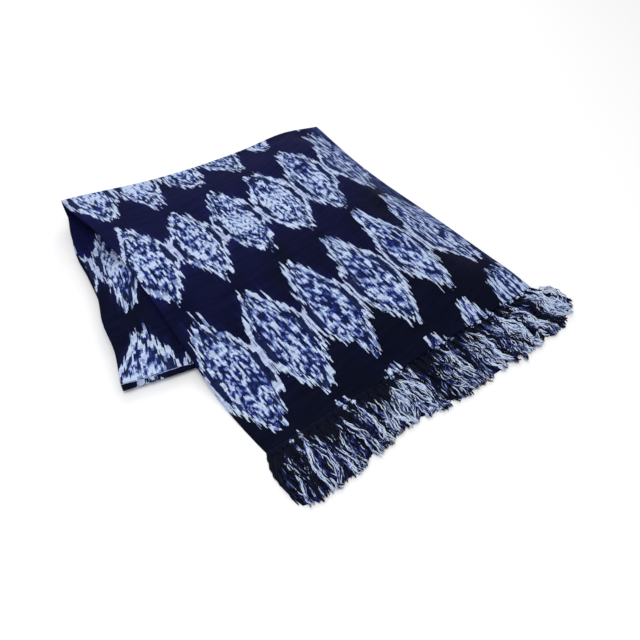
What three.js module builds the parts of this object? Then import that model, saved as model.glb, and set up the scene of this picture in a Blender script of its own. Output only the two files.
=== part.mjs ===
// A woven cotton ikat scarf with a knotted fringe, folded in three and laid on a flat surface.
// Units are millimetres. +X runs along the weft, towards the right selvage; +Y runs back, from the fringed
// hem towards the back fold; +Z is up. The surface that the scarf lies on is z = 0.
//
// The cloth is one woven length. From the hem it runs back over the heap (top_stretch), turns under at the
// back fold, and comes forward again (second_stretch), swung to the left because the fold is a little askew.
// At the front fold it turns under once more. The rest of it lies hidden beneath as one rounded body that is
// layered at its edges (hidden_layers).
import * as THREE from "three";

// ---- Driving dimensions ----
const wall = 2; // the cloth, with the air that its weave holds
const seamGap = 0.8; // between the nodes that one cloth is divided into, which meet at a slant
const foldSkew = THREE.MathUtils.degToRad(8.65); // the back fold, off square to the selvages
const foldLeft = new THREE.Vector2(-314, 372); // where the back fold meets the left selvages
const foldWidth = 634; // along the back fold
const secondLength = { left: 471, right: 575 }; // back fold to front fold, along each selvage
// How far the second stretch bows to the right of a straight line, at shares of its length.
const bow = { at: [0, 0.12, 0.25, 0.39, 0.55, 0.7, 0.86, 1], by: [0, -3, 0, 11, 17, 13, 20, 16] };
const showingHeight = { back: 24, front: 25 }; // of the second stretch's middle at its left selvage
const closeUnder = 8; // the second stretch's middle below the top stretch's, where that covers it
const foldFootHeight = { left: 20, right: 12 }; // the lower side of the back fold's roll
const foldRise = 0.24; // the share of the second stretch that rises from that roll
const rollDepth = { back: 0.8, front: 0.9 }; // how deep each fold's roll is, against half its height
// Where the second stretch climbs to the top stretch's left edge, as distances to the right of that edge.
// Behind mouth.back the back fold stands open, so that the climb is a long one inside it.
const climb = { from: -90, to: 5 };
const mouth = { from: -15, to: 190, front: 110, back: 230 };
const hem = { left: -345, right: -392 }; // how far forward the fringed hem reaches
const knotRow = { depth: 8, height: 7 }; // the row of knots along the hem
// The fringe beyond the knots: a row for each place along the hem, from the left selvage to the right, with
// how far its strands reach, the way they lean (degrees, to the right) and how thick they lie heaped.
const fringeSections = [
  { across: 0, reach: 108, lean: -14, heaped: 11 },
  { across: 0.12, reach: 113, lean: -5, heaped: 12 },
  { across: 0.22, reach: 104, lean: 1, heaped: 12 },
  { across: 0.33, reach: 94, lean: 3, heaped: 12 },
  { across: 0.5, reach: 108, lean: 4, heaped: 12 },
  { across: 0.75, reach: 106, lean: 6, heaped: 14 },
  { across: 0.9, reach: 107, lean: 14, heaped: 15 },
  { across: 1, reach: 99, lean: 26, heaped: 15 },
];
const hiddenClearance = 1.8; // under the second stretch, at its lowest nearby
// The rims of the hidden layers, seen under the selvages: a thin lower layer, then the rest set in from it.
const rim = { lowerIn: 3, lowerHeight: 9, lowerRound: 5, upperIn: 12, upperRound: 16, peek: 8, peekEnd: 0.7 };

// The heap's upper side: a row for each section across it, from the back to the front, y its place and
// z the cloth's height at each of the stations in acrossStations.
const acrossStations = [-320, -215, -110, 0, 110, 215, 320];
const heapSections = [
  { y: 390, z: [62, 50, 36, 28, 28, 32, 31] },
  { y: 290, z: [70, 57, 46, 40, 40, 46, 33] },
  { y: 200, z: [72, 63, 60, 60, 64, 62, 22] },
  { y: 115, z: [70, 69, 66, 64, 68, 60, 14] },
  { y: 35, z: [62, 70, 70, 68, 70, 60, 11] },
  { y: -45, z: [48, 64, 72, 71, 72, 60, 10] },
  { y: -125, z: [28, 42, 54, 61, 64, 54, 9] },
  { y: -205, z: [8, 19, 30, 43, 52, 44, 9] },
  { y: -285, z: [1, 7, 20, 34, 42, 37, 9] },
  { y: -340, z: [1, 1, 4, 12, 20, 21, 10] },
  { y: -400, z: [1, 1, 1, 1, 1, 3, 7] },
];
// The top stretch's selvages: how far left and right they lie at each section.
const selvageSections = [
  { y: 390, left: -314, right: 313 },
  { y: 200, left: -304, right: 309 },
  { y: 35, left: -308, right: 308 },
  { y: -125, left: -318, right: 316 },
  { y: -230, left: -323, right: 317 },
  { y: -320, left: -321, right: 317 },
  { y: -400, left: -315, right: 316 },
];

// ---- Small helpers ----
const smooth = (from, to, x) => THREE.MathUtils.smoothstep(x, from, to);
const mix = THREE.MathUtils.lerp;

// Catmull-Rom through four values at evenly numbered places.
function cubic(a, b, c, d, f) {
  return b + 0.5 * f * (c - a + f * (2 * a - 5 * b + 4 * c - d + f * (3 * (b - c) + d - a)));
}

// A value read from a list of places and their values, smoothly between them.
function along(places, values, place) {
  const last = places.length - 1;
  const rising = places[last] > places[0];
  let i = 0;
  while (i < last - 1 && (rising ? place > places[i + 1] : place < places[i + 1])) i += 1;
  const f = THREE.MathUtils.clamp((place - places[i]) / (places[i + 1] - places[i]), 0, 1);
  const at = (k) => values[THREE.MathUtils.clamp(k, 0, last)];
  return cubic(at(i - 1), at(i), at(i + 1), at(i + 2), f);
}

const heapPlaces = heapSections.map((row) => row.y);
function heapHeight(x, y) {
  const heights = heapSections.map((row) => along(acrossStations, row.z, x));
  return Math.max(wall / 2, along(heapPlaces, heights, y));
}

const selvagePlaces = selvageSections.map((row) => row.y);
const leftSelvage = (y) => along(selvagePlaces, selvageSections.map((row) => row.left), y);
const rightSelvage = (y) => along(selvagePlaces, selvageSections.map((row) => row.right), y);

// A closed wall around a grid of points: pointAt(across, on) gives the middle of the cloth.
// No point goes below the surface that the scarf lies on.
function clothWall(columns, rows, pointAt, thickness) {
  const middle = [];
  for (let j = 0; j <= rows; j += 1) {
    for (let i = 0; i <= columns; i += 1) middle.push(pointAt(i / columns, j / rows));
  }
  const at = (i, j) => middle[j * (columns + 1) + i];
  const points = [];
  for (const side of [1, -1]) {
    for (let j = 0; j <= rows; j += 1) {
      for (let i = 0; i <= columns; i += 1) {
        const acrossWay = at(Math.min(i + 1, columns), j).clone().sub(at(Math.max(i - 1, 0), j));
        const onWay = at(i, Math.min(j + 1, rows)).clone().sub(at(i, Math.max(j - 1, 0)));
        const normal = acrossWay.cross(onWay).normalize();
        const p = at(i, j).clone().addScaledVector(normal, (side * thickness) / 2);
        points.push(p.x, p.y, Math.max(0, p.z));
      }
    }
  }
  return gridShell(points, columns, rows);
}

// The closed shell between an upper and a lower grid of the same size, upper first.
function gridShell(points, columns, rows) {
  const index = [];
  const side = (columns + 1) * (rows + 1);
  const id = (i, j, lower) => j * (columns + 1) + i + (lower ? side : 0);
  for (let j = 0; j < rows; j += 1) {
    for (let i = 0; i < columns; i += 1) {
      index.push(id(i, j), id(i + 1, j), id(i + 1, j + 1), id(i, j), id(i + 1, j + 1), id(i, j + 1));
      index.push(id(i, j, 1), id(i + 1, j + 1, 1), id(i + 1, j, 1));
      index.push(id(i, j, 1), id(i, j + 1, 1), id(i + 1, j + 1, 1));
    }
  }
  const rim = [];
  for (let i = 0; i < columns; i += 1) rim.push([i, 0]);
  for (let j = 0; j < rows; j += 1) rim.push([columns, j]);
  for (let i = columns; i > 0; i -= 1) rim.push([i, rows]);
  for (let j = rows; j > 0; j -= 1) rim.push([0, j]);
  rim.forEach(([i, j], k) => {
    const [m, n] = rim[(k + 1) % rim.length];
    index.push(id(i, j), id(i, j, 1), id(m, n, 1), id(i, j), id(m, n, 1), id(m, n));
  });
  const geometry = new THREE.BufferGeometry();
  geometry.setAttribute("position", new THREE.Float32BufferAttribute(points, 3));
  geometry.setIndex(index);
  return geometry;
}

// ---- The plan of the folds ----
const foldAlong = new THREE.Vector2(Math.cos(foldSkew), -Math.sin(foldSkew));
const foldOut = new THREE.Vector2(Math.sin(foldSkew), Math.cos(foldSkew));
const secondForward = new THREE.Vector2(-Math.sin(2 * foldSkew), -Math.cos(2 * foldSkew));
const foldPoint = (s) => foldLeft.clone().addScaledVector(foldAlong, s * foldWidth);
const secondPoint = (s, t) =>
  foldPoint(s)
    .addScaledVector(secondForward, t * mix(secondLength.left, secondLength.right, s))
    .addScaledVector(foldAlong, along(bow.at, bow.by, t));

// How high the second stretch lies: low at the selvage that shows, and close under the top stretch where that
// covers it. It climbs to the top stretch's edge, except near the back fold, whose roll stands open there.
const foldFoot = (s) => mix(foldFootHeight.left, foldFootHeight.right, smooth(0, 0.6, s));
function secondHeight(s, t) {
  const p = secondPoint(s, t);
  const inside = p.x - leftSelvage(p.y);
  const pressed = Math.max(6, heapHeight(p.x, p.y) - closeUnder);
  const climbing = smooth(climb.from, climb.to, inside);
  const standingOpen = smooth(mouth.from, mouth.to, inside);
  const covered = mix(climbing, standingOpen, smooth(mouth.front, mouth.back, p.y));
  const showing = mix(showingHeight.back, showingHeight.front, t);
  return mix(foldFoot(s), mix(showing, pressed, covered), smooth(0, foldRise, t));
}

// A point on the roll of a fold: from is where the roll starts and ends in plan, out the way it bulges.
function rollPoint(from, out, top, foot, depth, share) {
  const half = (top - foot) / 2;
  const turn = Math.PI * share;
  const p = from.addScaledVector(out, depth * half * Math.sin(turn));
  return new THREE.Vector3(p.x, p.y, foot + half + half * Math.cos(turn));
}

// ---- Pieces ----
function topStretch() {
  const columns = 26;
  const flatRows = 28;
  const rollRows = 7;
  const pointAt = (s, row) => {
    const j = row * (flatRows + rollRows);
    const onFold = foldPoint(s);
    if (j <= flatRows) {
      const hemY = mix(hem.left, hem.right, s);
      const y = mix(hemY, onFold.y, j / flatRows);
      const x = mix(mix(leftSelvage(y), rightSelvage(y), s), onFold.x, smooth(0.8, 1, j / flatRows));
      return new THREE.Vector3(x, y, heapHeight(x, y));
    }
    const top = heapHeight(onFold.x, onFold.y);
    return rollPoint(onFold, foldOut, top, foldFoot(s), rollDepth.back, (j - flatRows) / rollRows);
  };
  return clothWall(columns, flatRows + rollRows, pointAt, wall);
}

function secondStretch() {
  const columns = 18;
  const flatRows = 18;
  const rollRows = 6;
  const start = seamGap / secondLength.left;
  const pointAt = (s, row) => {
    const j = row * (flatRows + rollRows);
    if (j <= flatRows) {
      const t = mix(start, 1, (j / flatRows) ** 1.3); // closer rows where it rises from the back fold
      const p = secondPoint(s, t);
      return new THREE.Vector3(p.x, p.y, secondHeight(s, t));
    }
    const onFold = secondPoint(s, 1);
    const share = (j - flatRows) / rollRows;
    return rollPoint(onFold, secondForward, secondHeight(s, 1), wall, rollDepth.front, share);
  };
  // The grid runs forward here, so its across way is turned round to keep the faces out.
  return clothWall(columns, flatRows + rollRows, (s, row) => pointAt(1 - s, row), wall);
}

// The hidden layers: a rounded body under the second stretch, flat below. Its rim is stepped like the edges
// of the layers in it, and the lowest one peeks out a little at the left.
function rimHeight(depth, ceiling) {
  const round = (from, radius) =>
    Math.sqrt(1 - (1 - THREE.MathUtils.clamp((depth - from) / radius, 0, 1)) ** 2);
  const lower = Math.min(rim.lowerHeight, ceiling) * round(rim.lowerIn - 1, rim.lowerRound);
  return Math.max(lower, ceiling * round(rim.upperIn, rim.upperRound));
}
const nearSteps = [-0.03, 0, 0.03];
const lowestNear = (s, t) =>
  Math.min(...nearSteps.flatMap((ds) => nearSteps.map((dt) => secondHeight(s + ds, Math.max(0, t + dt)))));
function hiddenLayers() {
  const rimDepths = [rim.lowerIn, 5, 8, rim.upperIn, 14, 19, rim.upperIn + rim.upperRound];
  const inner = 9;
  const backEnd = 14; // behind the second stretch's start at the back fold
  const frontEnd = 4; // clear of the front fold's roll
  const upper = [];
  const lower = [];
  const columns = 2 * rimDepths.length + inner - 1;
  const rows = rimDepths.length + inner;
  const innerSpan = rimDepths.at(-1);
  const innerShare = innerSpan / foldWidth;
  for (let j = 0; j <= rows; j += 1) {
    for (let i = 0; i <= columns; i += 1) {
      const fromLeft = columns - i;
      const sideStep = Math.min(fromLeft, i);
      const sideDepth = rimDepths[Math.min(sideStep, rimDepths.length - 1)];
      const rimShare = sideDepth / foldWidth;
      const innerAt = (fromLeft - rimDepths.length + 1) / inner;
      let s = mix(innerShare, 1 - innerShare, THREE.MathUtils.clamp(innerAt, 0, 1));
      if (sideStep < rimDepths.length) s = fromLeft < i ? rimShare : 1 - rimShare;
      const backDepth = j < rimDepths.length ? rimDepths[j] : innerSpan;
      const length = mix(secondLength.left, secondLength.right, s);
      const start = (backEnd + backDepth) / length;
      const end = 1 - frontEnd / length;
      const forward = (j - rimDepths.length + 1) / (inner + 1);
      const t = mix(start, end, THREE.MathUtils.clamp(forward, 0, 1));
      const peekHere = smooth(innerSpan, 0, s * foldWidth) * Math.sin(Math.PI * Math.min(1, t / rim.peekEnd));
      const p = secondPoint(s, t).addScaledVector(foldAlong, -rim.peek * peekHere);
      const ceiling = Math.max(4, lowestNear(s, t) - wall / 2 - hiddenClearance);
      const height = rimHeight(Math.min(sideDepth, backDepth), ceiling);
      upper.push(p.x, p.y, height);
      lower.push(p.x, p.y, 0);
    }
  }
  return gridShell([...upper, ...lower], columns, rows);
}

// A point on the floor beyond the hem: s across, outward from the hem along the strands.
const fringeColumn = (name) => fringeSections.map((row) => row[name]);
const fringeAt = (name, s) => along(fringeColumn("across"), fringeColumn(name), s);
function fringePoint(s, outward) {
  const y = mix(hem.left, hem.right, s);
  const x = mix(leftSelvage(y), rightSelvage(y), s);
  const lean = THREE.MathUtils.degToRad(fringeAt("lean", s));
  return new THREE.Vector2(x + outward * Math.sin(lean), y - outward * Math.cos(lean));
}

// A low body on the floor along the hem, between two distances out from it, as high as heightAt(s, share).
function hemBody(columns, rows, outwardAt, heightAt) {
  const upper = [];
  const lower = [];
  for (let j = 0; j <= rows; j += 1) {
    for (let i = 0; i <= columns; i += 1) {
      const s = 1 - i / columns;
      const p = fringePoint(s, outwardAt(s, j / rows));
      upper.push(p.x, p.y, heightAt(s, j / rows));
      lower.push(p.x, p.y, 0);
    }
  }
  return gridShell([...upper, ...lower], columns, rows);
}

function fringeKnots() {
  const outwardAt = (s, share) => seamGap + share * knotRow.depth;
  const heightAt = (s, share) => mix(2, knotRow.height, Math.sin(Math.PI * share) ** 0.6);
  return hemBody(32, 4, outwardAt, heightAt);
}

function frontFringe() {
  const start = 2 * seamGap + knotRow.depth;
  const uneven = (s) => 4 * Math.sin(34 * s);
  const outwardAt = (s, share) => mix(start, fringeAt("reach", s) + uneven(s), share);
  const heightAt = (s, share) => fringeAt("heaped", s) * mix(0.45, 1, Math.sin(Math.PI * share ** 0.8));
  return hemBody(32, 5, outwardAt, heightAt);
}

const cloth = new THREE.MeshStandardMaterial({ color: 0x171a52, roughness: 0.75, metalness: 0 });
const yarn = new THREE.MeshStandardMaterial({ color: 0x8f9ccb, roughness: 0.85, metalness: 0 });

const scarf = new THREE.Group();
function add(name, geometry, material) {
  const mesh = new THREE.Mesh(geometry, material);
  mesh.name = name;
  scarf.add(mesh);
}
add("top_stretch", topStretch(), cloth);
add("second_stretch", secondStretch(), cloth);
add("hidden_layers", hiddenLayers(), cloth);
add("fringe_knots", fringeKnots(), cloth);
add("front_fringe", frontFringe(), yarn);

// The origin is under the middle of the whole scarf, on the surface that it lies on.
const box = new THREE.Box3().setFromObject(scarf);
const centre = box.getCenter(new THREE.Vector3());
scarf.position.set(-centre.x, -centre.y, -box.min.z);

export default scarf;
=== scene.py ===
# %% [markdown]
# # A folded ikat scarf
#
# One woven cotton length, about 0.65 m wide, folded in three and laid down with its knotted fringe towards
# us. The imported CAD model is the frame: it says where each stretch of the cloth lies and how high it is
# heaped. Here every stretch becomes a thin sheet with its own creases, the knots and the strands of the
# fringe are made one by one, and a procedural material dyes the warp threads.
#
# All sizes are in metres. In the cloth's own measures x runs along the weft, towards the right selvage, and
# y runs back, from the hem towards the back fold.

# %% Load the frame
import math

import bmesh
import bpy
import numpy as np
from mathutils import Matrix, Vector


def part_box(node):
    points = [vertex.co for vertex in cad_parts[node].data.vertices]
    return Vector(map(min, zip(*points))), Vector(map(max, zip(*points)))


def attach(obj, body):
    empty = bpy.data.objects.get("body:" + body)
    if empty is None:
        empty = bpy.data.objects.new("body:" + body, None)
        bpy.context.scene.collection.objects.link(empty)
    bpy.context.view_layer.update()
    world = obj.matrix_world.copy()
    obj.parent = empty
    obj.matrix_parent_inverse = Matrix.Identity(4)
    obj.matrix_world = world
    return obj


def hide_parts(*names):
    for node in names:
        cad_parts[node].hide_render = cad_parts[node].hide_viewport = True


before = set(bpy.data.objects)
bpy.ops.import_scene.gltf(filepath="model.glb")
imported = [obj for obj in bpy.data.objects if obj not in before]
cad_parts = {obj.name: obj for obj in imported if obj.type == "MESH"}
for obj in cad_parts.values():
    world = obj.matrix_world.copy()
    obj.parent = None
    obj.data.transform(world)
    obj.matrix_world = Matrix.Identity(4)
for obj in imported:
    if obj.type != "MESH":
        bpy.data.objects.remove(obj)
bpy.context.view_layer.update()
print("CAD nodes:", ", ".join(sorted(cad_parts)))

# %% [markdown]
# The cloth's own measures start at a point inside the scarf. The frame starts under the middle of the whole
# object, so one shift takes every point from the first to the second. The top stretch's box gives it: its
# lowest corner is the widest place of the left selvage and the foremost end of the hem.

# %% From the cloth's own measures to the frame
widest_left = -0.3232
foremost_hem = -0.3921
top_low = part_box("top_stretch")[0]
shift = np.array([top_low.x - widest_left, top_low.y - foremost_hem, 0.0])
print("shift to the frame (mm):", np.round(shift * 1000, 1))

# %% [markdown]
# Two small tools read a value between given places: a smooth step from 0 to 1, and a Catmull-Rom curve
# through a short table. Both work on whole arrays, because a sheet has tens of thousands of points.


# %% Reading between the lines of a table
def smooth(start, end, x):
    share = np.clip((x - start) / (end - start), 0, 1)
    return share * share * (3 - 2 * share)


def mix(first, second, share):
    return first + (second - first) * share


def along(places, values, x):
    """The value at each x, on a smooth curve through values at places (one row of values for each place)."""
    places = np.asarray(places, float)
    values = np.asarray(values, float)
    x = np.asarray(x, float)
    if values.ndim == 1:
        values = values.reshape((-1,) + (1,) * x.ndim) * np.ones_like(x)
    way = 1 if places[-1] > places[0] else -1
    last = len(places) - 1
    before = np.clip(np.searchsorted(places * way, x * way) - 1, 0, last - 1)
    share = np.clip((x - places[before]) / (places[before + 1] - places[before]), 0, 1)

    def pick(index):
        return np.take_along_axis(values, np.clip(index, 0, last)[None], 0)[0]

    a, b, c, d = pick(before - 1), pick(before), pick(before + 1), pick(before + 2)
    return b + 0.5 * share * (c - a + share * (2 * a - 5 * b + 4 * c - d + share * (3 * (b - c) + d - a)))


# %% [markdown]
# ## The form of the heap
#
# These are the CAD model's own tables, in metres: how high the top stretch lies at stations across the
# cloth, and where its two selvages run. The heap is highest in the middle, stands up at the back left, where
# the back fold is open, and comes down softly to the right and to the hem.

# %% The heap's sections
wall = 0.002
thin_cloth = 0.0010
across_stations = [-0.320, -0.215, -0.110, 0.0, 0.110, 0.215, 0.320]
heap_sections = {
    0.390: [0.062, 0.050, 0.036, 0.028, 0.028, 0.032, 0.031],
    0.290: [0.070, 0.057, 0.046, 0.040, 0.040, 0.046, 0.033],
    0.200: [0.072, 0.063, 0.060, 0.060, 0.064, 0.062, 0.022],
    0.115: [0.070, 0.069, 0.066, 0.064, 0.068, 0.060, 0.014],
    0.035: [0.062, 0.070, 0.070, 0.068, 0.070, 0.060, 0.011],
    -0.045: [0.048, 0.064, 0.072, 0.071, 0.072, 0.060, 0.010],
    -0.125: [0.028, 0.042, 0.054, 0.061, 0.064, 0.054, 0.009],
    -0.205: [0.008, 0.019, 0.030, 0.043, 0.052, 0.044, 0.009],
    -0.285: [0.001, 0.007, 0.020, 0.034, 0.042, 0.037, 0.009],
    -0.340: [0.001, 0.001, 0.004, 0.012, 0.020, 0.021, 0.010],
    -0.400: [0.001, 0.001, 0.001, 0.001, 0.001, 0.003, 0.007],
}
selvage_sections = {
    0.390: (-0.314, 0.313),
    0.200: (-0.304, 0.309),
    0.035: (-0.308, 0.308),
    -0.125: (-0.318, 0.316),
    -0.230: (-0.323, 0.317),
    -0.320: (-0.321, 0.317),
    -0.400: (-0.315, 0.316),
}
hem_left = -0.345
hem_right = -0.392

# %% [markdown]
# Real cloth isn't as smooth as the frame. The main creases are listed one by one, each one a soft trough or
# ridge along a line, uneven in length, width and depth. A trough has a depth below zero.

# %% Creases of the top stretch
# from x, from y, to x, to y, half width, depth
top_creases = [
    (-0.300, 0.020, -0.300, -0.160, 0.030, -0.0035),
    (-0.262, 0.120, -0.255, -0.060, 0.026, 0.0022),
    (0.200, -0.040, 0.262, -0.250, 0.030, -0.0060),
    (0.150, -0.120, 0.170, -0.290, 0.026, 0.0032),
    (0.265, 0.150, 0.270, -0.040, 0.022, -0.0022),
    (0.020, -0.230, 0.060, -0.350, 0.026, -0.0030),
    (-0.130, -0.200, -0.110, -0.330, 0.030, -0.0016),
    (-0.060, -0.240, -0.045, -0.345, 0.022, 0.0022),
    (0.095, -0.250, 0.110, -0.370, 0.018, -0.0024),
    (-0.200, 0.330, -0.060, 0.290, 0.028, -0.0024),
    (0.020, 0.290, 0.200, 0.250, 0.024, 0.0018),
    (-0.100, 0.110, 0.060, 0.140, 0.040, -0.0014),
    (0.230, 0.250, 0.300, 0.230, 0.020, -0.0024),
]


def creased(x, y, creases):
    """How far the creases move the cloth up at each point."""
    total = np.zeros_like(x)
    for from_x, from_y, to_x, to_y, half_width, depth in creases:
        way_x = to_x - from_x
        way_y = to_y - from_y
        length = math.hypot(way_x, way_y)
        share = ((x - from_x) * way_x + (y - from_y) * way_y) / length**2
        aside = ((x - from_x) * way_y - (y - from_y) * way_x) / length
        beyond = np.maximum(0, np.abs(share - 0.5) - 0.35) / 0.35
        total += depth * np.exp(-((aside / half_width) ** 2) - 2.2 * beyond**2)
    return total


def heap_height(x, y):
    """The height of the top stretch's middle over the plan of the cloth."""
    rows = [along(across_stations, heights, x) for heights in heap_sections.values()]
    form = along(list(heap_sections), np.array(rows), y)
    laid = smooth(0.002, 0.016, form)
    return np.maximum(wall / 2, form + creased(x, y, top_creases) * laid)


def left_selvage(y):
    return along(list(selvage_sections), [left for left, right in selvage_sections.values()], y)


def right_selvage(y):
    return along(list(selvage_sections), [right for left, right in selvage_sections.values()], y)


print("heap, middle:", round(float(heap_height(np.array([0.0]), np.array([0.0]))[0]) * 1000, 1), "mm high")

# %% [markdown]
# ## How the folds lie
#
# The back fold isn't square to the selvages. It is a little askew, so the second stretch, which comes forward
# under the top one, swings to the left and shows there as a wedge.

# %% The plan of the folds
fold_skew = math.radians(8.65)
fold_left = (-0.314, 0.372)
fold_width = 0.634
second_left_length = 0.471
second_right_length = 0.575
fold_along = (math.cos(fold_skew), -math.sin(fold_skew))
fold_out = (math.sin(fold_skew), math.cos(fold_skew))
second_forward = (-math.sin(2 * fold_skew), -math.cos(2 * fold_skew))
roll_depth_back = 0.8
roll_depth_front = 0.9
# How far the second stretch bows to the right of a straight line, at shares of its length.
bow_places = [0.0, 0.12, 0.25, 0.39, 0.55, 0.70, 0.86, 1.0]
bows = [0.0, -0.003, 0.0, 0.011, 0.017, 0.013, 0.020, 0.016]


def fold_point(s):
    return fold_left[0] + fold_along[0] * s * fold_width, fold_left[1] + fold_along[1] * s * fold_width


def second_plan(s, t):
    fold_x, fold_y = fold_point(s)
    length = mix(second_left_length, second_right_length, s)
    bow = along(bow_places, bows, t)
    x = fold_x + second_forward[0] * t * length + fold_along[0] * bow
    y = fold_y + second_forward[1] * t * length + fold_along[1] * bow
    return x, y


# %% [markdown]
# The second stretch lies low at the selvage that shows and climbs to the top stretch's left edge. Near the
# back fold it doesn't: there the fold's roll stands open, and the gap under the top stretch is dark.

# %% Height of the second stretch
close_under = 0.008
second_creases = [
    (-0.405, 0.210, -0.330, 0.100, 0.016, -0.0042),
    (-0.430, 0.110, -0.350, -0.020, 0.020, 0.0032),
    (-0.360, 0.300, -0.330, 0.200, 0.014, 0.0030),
    (-0.395, 0.300, -0.345, 0.230, 0.011, -0.0034),
    (-0.360, 0.000, -0.335, -0.090, 0.016, -0.0050),
    (-0.470, 0.020, -0.420, -0.060, 0.022, -0.0020),
]


def fold_foot(s):
    return mix(0.020, 0.012, smooth(0, 0.6, s))


def second_height(s, t):
    x, y = second_plan(s, t)
    inside = x - left_selvage(y)
    pressed = np.maximum(0.006, heap_height(x, y) - close_under)
    climbing = smooth(-0.090, 0.005, inside)
    standing_open = smooth(-0.015, 0.190, inside)
    covered = mix(climbing, standing_open, smooth(0.110, 0.230, y))
    showing = mix(0.024, 0.025, t)
    free = 1 - smooth(-0.02, 0.06, inside)
    open_form = mix(showing, pressed, covered) + creased(x, y, second_creases) * free
    return mix(fold_foot(s), open_form, smooth(0, 0.24, t))


def rolled(from_x, from_y, out, top, foot, depth, share):
    """A point of the half round that the cloth makes at a fold."""
    half = (top - foot) / 2
    reach = depth * half * np.sin(np.pi * share)
    return from_x + out[0] * reach, from_y + out[1] * reach, foot + half + half * np.cos(np.pi * share)


# %% [markdown]
# ## Sheets
#
# A sheet starts as a bmesh grid. Each of its points is then laid on the form of its stretch, and the same
# grid gives the cloth's pattern coordinates: u counts motifs along the weft from the left selvage, and v
# counts rows of motifs along the warp. They are worked out from lengths measured on the cloth, so that the
# dyed pattern bends with it. Solidify gives the sheet the thickness of a woven cotton.


# %% Make a sheet from a grid of points
def mesh_points(mesh):
    flat = np.empty(len(mesh.vertices) * 3)
    mesh.vertices.foreach_get("co", flat)
    return flat.reshape(-1, 3)


def mesh_corners(mesh):
    corners = np.empty(len(mesh.loops), int)
    mesh.loops.foreach_get("vertex_index", corners)
    return corners


def linked(name, data):
    """A new object in the scene."""
    made = bpy.data.objects.new(name, data)
    bpy.context.scene.collection.objects.link(made)
    return made


def lay_pattern(mesh, name, values):
    """A UV map from one pair of values for each point."""
    layer = mesh.uv_layers.new(name=name)
    layer.uv.foreach_set("vector", values[mesh_corners(mesh)].ravel())


def cloth_sheet(name, points, pattern, thickness, material):
    """A solidified sheet through points (rows x columns x 3), with pattern as its UV map."""
    rows = points.shape[0] - 1
    columns = points.shape[1] - 1
    grid = bmesh.new()
    bmesh.ops.create_grid(grid, x_segments=columns, y_segments=rows, size=0.5)
    mesh = bpy.data.meshes.new(name)
    grid.to_mesh(mesh)
    grid.free()
    flat = mesh_points(mesh)
    column = np.rint((flat[:, 0] + 0.5) * columns).astype(int)
    row = np.rint((flat[:, 1] + 0.5) * rows).astype(int)
    mesh.vertices.foreach_set("co", (points[row, column] + shift).ravel())
    lay_pattern(mesh, "pattern", pattern[row, column])
    mesh.shade_smooth()
    mesh.materials.append(material)
    sheet = linked(name, mesh)
    body = sheet.modifiers.new("thickness", "SOLIDIFY")
    body.thickness = thickness
    body.offset = 0
    print(name, "has", len(mesh.polygons), "quads before its thickness")
    return sheet


def lengths_along(points, axis):
    """The length of the cloth from its start to each point, along one way of the grid."""
    steps = np.linalg.norm(np.diff(points, axis=axis), axis=2)
    start = np.zeros_like(np.take(steps, [0], axis))
    return np.concatenate([start, np.cumsum(steps, axis)], axis)


def share_grid(columns, rows):
    """The shares across and on, 0 to 1, at each point of a grid."""
    return np.meshgrid(np.linspace(0, 1, columns + 1), np.linspace(0, 1, rows + 1))


# %% [markdown]
# ## The dyed warp
#
# In a warp ikat the warp threads are tied and dyed in bundles before weaving, so every motif is made of
# thin dashes that lie along the warp and never quite meet. The material does the same. It cuts the cloth into
# bundles of threads, slips each bundle a little along the warp, and then asks, for each point, how deep it
# lies inside a motif.
#
# A small helper keeps the node trees readable: each call adds one node and returns its output.


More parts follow.
